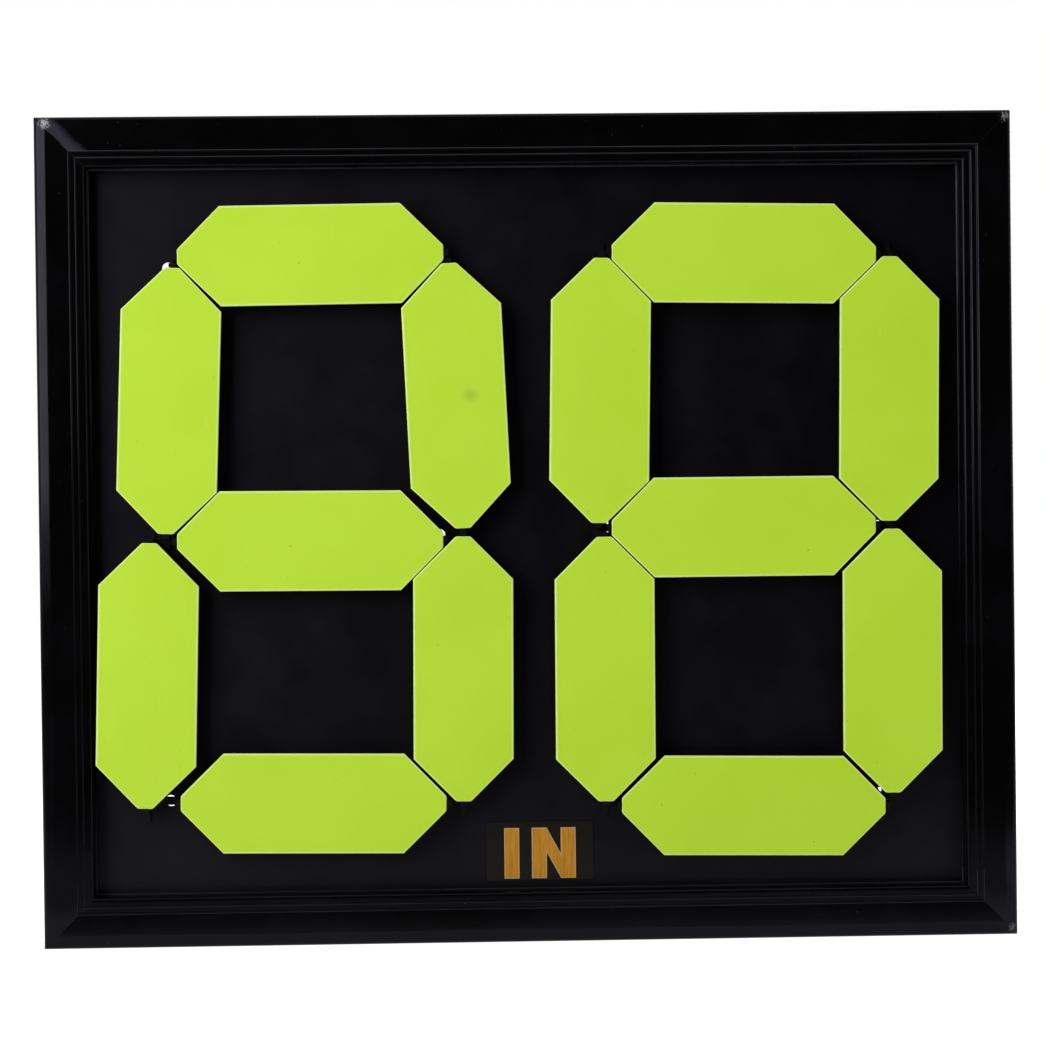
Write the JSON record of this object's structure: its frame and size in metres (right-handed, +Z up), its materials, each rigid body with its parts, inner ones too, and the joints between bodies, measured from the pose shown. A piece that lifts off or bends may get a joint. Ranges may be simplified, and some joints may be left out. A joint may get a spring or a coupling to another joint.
{
  "type": "substitution board",
  "caption": "Two-sided substitution board: framed panel with seven-segment digits whose octagonal flaps turn over by hand to show or hide each segment.",
  "frame": {"origin": "middle of the underside of the frame, where the board stands", "axes": "+Z up as the digits are read, +X to the right as the IN side is read, +Y from the IN side to the OUT side"},
  "size_m": [0.45, 0.035, 0.382],
  "materials": {
    "gloss_black_frame": "glossy black wrapped picture-frame moulding",
    "black_panel": "satin black plastic sheet",
    "green_flap": "bright yellow-green satin plastic, black on the inner face",
    "red_flap": "bright red satin plastic, black on the inner face",
    "black_pivots": "black posts and blackened wire",
    "nail_steel": "bright steel",
    "black_label": "satin black label",
    "gold_foil": "dull gold foil letters"
  },
  "bodies": {
    "board": {"rail_top": "gloss_black_frame", "rail_right": "gloss_black_frame", "rail_bottom": "gloss_black_frame", "rail_left": "gloss_black_frame", "nail_top_left_in": "nail_steel", "nail_top_left_out": "nail_steel", "nail_bottom_left_in": "nail_steel", "nail_bottom_left_out": "nail_steel", "nail_top_right_in": "nail_steel", "nail_top_right_out": "nail_steel", "nail_bottom_right_in": "nail_steel", "nail_bottom_right_out": "nail_steel", "panel": "black_panel", "in_tens_pivot_frame": "black_pivots", "in_units_pivot_frame": "black_pivots", "in_label": "black_label", "in_letter_i": "gold_foil", "in_letter_n": "gold_foil", "out_units_pivot_frame": "black_pivots", "out_tens_pivot_frame": "black_pivots", "out_label": "black_label", "out_letter_o": "gold_foil", "out_letter_u": "gold_foil", "out_letter_t": "gold_foil"},
    "in_tens_top_flap": {"in_tens_top": "green_flap"},
    "in_tens_middle_flap": {"in_tens_middle": "green_flap"},
    "in_tens_bottom_flap": {"in_tens_bottom": "green_flap"},
    "in_tens_upper_left_flap": {"in_tens_upper_left": "green_flap"},
    "in_tens_upper_right_flap": {"in_tens_upper_right": "green_flap"},
    "in_tens_lower_left_flap": {"in_tens_lower_left": "green_flap"},
    "in_tens_lower_right_flap": {"in_tens_lower_right": "green_flap"},
    "in_units_top_flap": {"in_units_top": "green_flap"},
    "in_units_middle_flap": {"in_units_middle": "green_flap"},
    "in_units_bottom_flap": {"in_units_bottom": "green_flap"},
    "in_units_upper_left_flap": {"in_units_upper_left": "green_flap"},
    "in_units_upper_right_flap": {"in_units_upper_right": "green_flap"},
    "in_units_lower_left_flap": {"in_units_lower_left": "green_flap"},
    "in_units_lower_right_flap": {"in_units_lower_right": "green_flap"},
    "out_tens_top_flap": {"out_tens_top": "red_flap"},
    "out_tens_middle_flap": {"out_tens_middle": "red_flap"},
    "out_tens_bottom_flap": {"out_tens_bottom": "red_flap"},
    "out_tens_upper_left_flap": {"out_tens_upper_left": "red_flap"},
    "out_tens_upper_right_flap": {"out_tens_upper_right": "red_flap"},
    "out_tens_lower_left_flap": {"out_tens_lower_left": "red_flap"},
    "out_tens_lower_right_flap": {"out_tens_lower_right": "red_flap"},
    "out_units_top_flap": {"out_units_top": "red_flap"},
    "out_units_middle_flap": {"out_units_middle": "red_flap"},
    "out_units_bottom_flap": {"out_units_bottom": "red_flap"},
    "out_units_upper_left_flap": {"out_units_upper_left": "red_flap"},
    "out_units_upper_right_flap": {"out_units_upper_right": "red_flap"},
    "out_units_lower_left_flap": {"out_units_lower_left": "red_flap"},
    "out_units_lower_right_flap": {"out_units_lower_right": "red_flap"}
  },
  "joints": [
    {"name": "in_tens_top_turn", "type": "hinge", "parent": "board", "child": "in_tens_top_flap", "pos_m": [-0.09906, -0.013, 0.31815], "axis": [1, 0, 0.0087], "range_deg": [0, 180]},
    {"name": "in_tens_middle_turn", "type": "hinge", "parent": "board", "child": "in_tens_middle_flap", "pos_m": [-0.10068, -0.013, 0.18641], "axis": [1, 0, -0.0052], "range_deg": [0, 180]},
    {"name": "in_tens_bottom_turn", "type": "hinge", "parent": "board", "child": "in_tens_bottom_flap", "pos_m": [-0.10054, -0.013, 0.0652], "axis": [0.9999, 0, -0.014], "range_deg": [0, 180]},
    {"name": "in_tens_upper_left_turn", "type": "hinge", "parent": "board", "child": "in_tens_upper_left_flap", "pos_m": [-0.16486, -0.013, 0.25148], "axis": [0.0366, 0, 0.9993], "range_deg": [0, 180]},
    {"name": "in_tens_upper_right_turn", "type": "hinge", "parent": "board", "child": "in_tens_upper_right_flap", "pos_m": [-0.0328, -0.013, 0.25254], "axis": [-0.0419, 0, 0.9991], "range_deg": [0, 180]},
    {"name": "in_tens_lower_left_turn", "type": "hinge", "parent": "board", "child": "in_tens_lower_left_flap", "pos_m": [-0.17636, -0.013, 0.12505], "axis": [0.0279, 0, 0.9996], "range_deg": [0, 180]},
    {"name": "in_tens_lower_right_turn", "type": "hinge", "parent": "board", "child": "in_tens_lower_right_flap", "pos_m": [-0.03081, -0.013, 0.12638], "axis": [0.0087, 0, 1], "range_deg": [0, 180]},
    {"name": "in_units_top_turn", "type": "hinge", "parent": "board", "child": "in_units_top_flap", "pos_m": [0.10105, -0.013, 0.31709], "axis": [0.9999, 0, -0.0157], "range_deg": [0, 180]},
    {"name": "in_units_middle_turn", "type": "hinge", "parent": "board", "child": "in_units_middle_flap", "pos_m": [0.09971, -0.013, 0.19066], "axis": [1, 0, 0], "range_deg": [0, 180]},
    {"name": "in_units_bottom_turn", "type": "hinge", "parent": "board", "child": "in_units_bottom_flap", "pos_m": [0.10303, -0.013, 0.06132], "axis": [0.9999, 0, -0.0157], "range_deg": [0, 180]},
    {"name": "in_units_upper_left_turn", "type": "hinge", "parent": "board", "child": "in_units_upper_left_flap", "pos_m": [0.03377, -0.013, 0.25425], "axis": [0.0209, 0, 0.9998], "range_deg": [0, 180]},
    {"name": "in_units_upper_right_turn", "type": "hinge", "parent": "board", "child": "in_units_upper_right_flap", "pos_m": [0.16782, -0.013, 0.25374], "axis": [0.014, 0, 0.9999], "range_deg": [0, 180]},
    {"name": "in_units_lower_left_turn", "type": "hinge", "parent": "board", "child": "in_units_lower_left_flap", "pos_m": [0.03474, -0.013, 0.12546], "axis": [0.0035, 0, 1], "range_deg": [0, 180]},
    {"name": "in_units_lower_right_turn", "type": "hinge", "parent": "board", "child": "in_units_lower_right_flap", "pos_m": [0.16823, -0.013, 0.12763], "axis": [0.0052, 0, 1], "range_deg": [0, 180]},
    {"name": "out_tens_top_turn", "type": "hinge", "parent": "board", "child": "out_tens_top_flap", "pos_m": [0.10105, 0.013, 0.31709], "axis": [0.9999, 0, -0.0157], "range_deg": [0, 180]},
    {"name": "out_tens_middle_turn", "type": "hinge", "parent": "board", "child": "out_tens_middle_flap", "pos_m": [0.09971, 0.013, 0.19066], "axis": [1, 0, 0], "range_deg": [0, 180]},
    {"name": "out_tens_bottom_turn", "type": "hinge", "parent": "board", "child": "out_tens_bottom_flap", "pos_m": [0.10303, 0.013, 0.06132], "axis": [0.9999, 0, -0.0157], "range_deg": [0, 180]},
    {"name": "out_tens_upper_left_turn", "type": "hinge", "parent": "board", "child": "out_tens_upper_left_flap", "pos_m": [0.16782, 0.013, 0.25374], "axis": [0.014, 0, 0.9999], "range_deg": [0, 180]},
    {"name": "out_tens_upper_right_turn", "type": "hinge", "parent": "board", "child": "out_tens_upper_right_flap", "pos_m": [0.03377, 0.013, 0.25425], "axis": [0.0209, 0, 0.9998], "range_deg": [0, 180]},
    {"name": "out_tens_lower_left_turn", "type": "hinge", "parent": "board", "child": "out_tens_lower_left_flap", "pos_m": [0.16823, 0.013, 0.12763], "axis": [0.0052, 0, 1], "range_deg": [0, 180]},
    {"name": "out_tens_lower_right_turn", "type": "hinge", "parent": "board", "child": "out_tens_lower_right_flap", "pos_m": [0.03474, 0.013, 0.12546], "axis": [0.0035, 0, 1], "range_deg": [0, 180]},
    {"name": "out_units_top_turn", "type": "hinge", "parent": "board", "child": "out_units_top_flap", "pos_m": [-0.09906, 0.013, 0.31815], "axis": [1, 0, 0.0087], "range_deg": [0, 180]},
    {"name": "out_units_middle_turn", "type": "hinge", "parent": "board", "child": "out_units_middle_flap", "pos_m": [-0.10068, 0.013, 0.18641], "axis": [1, 0, -0.0052], "range_deg": [0, 180]},
    {"name": "out_units_bottom_turn", "type": "hinge", "parent": "board", "child": "out_units_bottom_flap", "pos_m": [-0.10054, 0.013, 0.0652], "axis": [0.9999, 0, -0.014], "range_deg": [0, 180]},
    {"name": "out_units_upper_left_turn", "type": "hinge", "parent": "board", "child": "out_units_upper_left_flap", "pos_m": [-0.0328, 0.013, 0.25254], "axis": [-0.0419, 0, 0.9991], "range_deg": [0, 180]},
    {"name": "out_units_upper_right_turn", "type": "hinge", "parent": "board", "child": "out_units_upper_right_flap", "pos_m": [-0.16486, 0.013, 0.25148], "axis": [0.0366, 0, 0.9993], "range_deg": [0, 180]},
    {"name": "out_units_lower_left_turn", "type": "hinge", "parent": "board", "child": "out_units_lower_left_flap", "pos_m": [-0.03081, 0.013, 0.12638], "axis": [0.0087, 0, 1], "range_deg": [0, 180]},
    {"name": "out_units_lower_right_turn", "type": "hinge", "parent": "board", "child": "out_units_lower_right_flap", "pos_m": [-0.17636, 0.013, 0.12505], "axis": [0.0279, 0, 0.9996], "range_deg": [0, 180]}
  ]
}
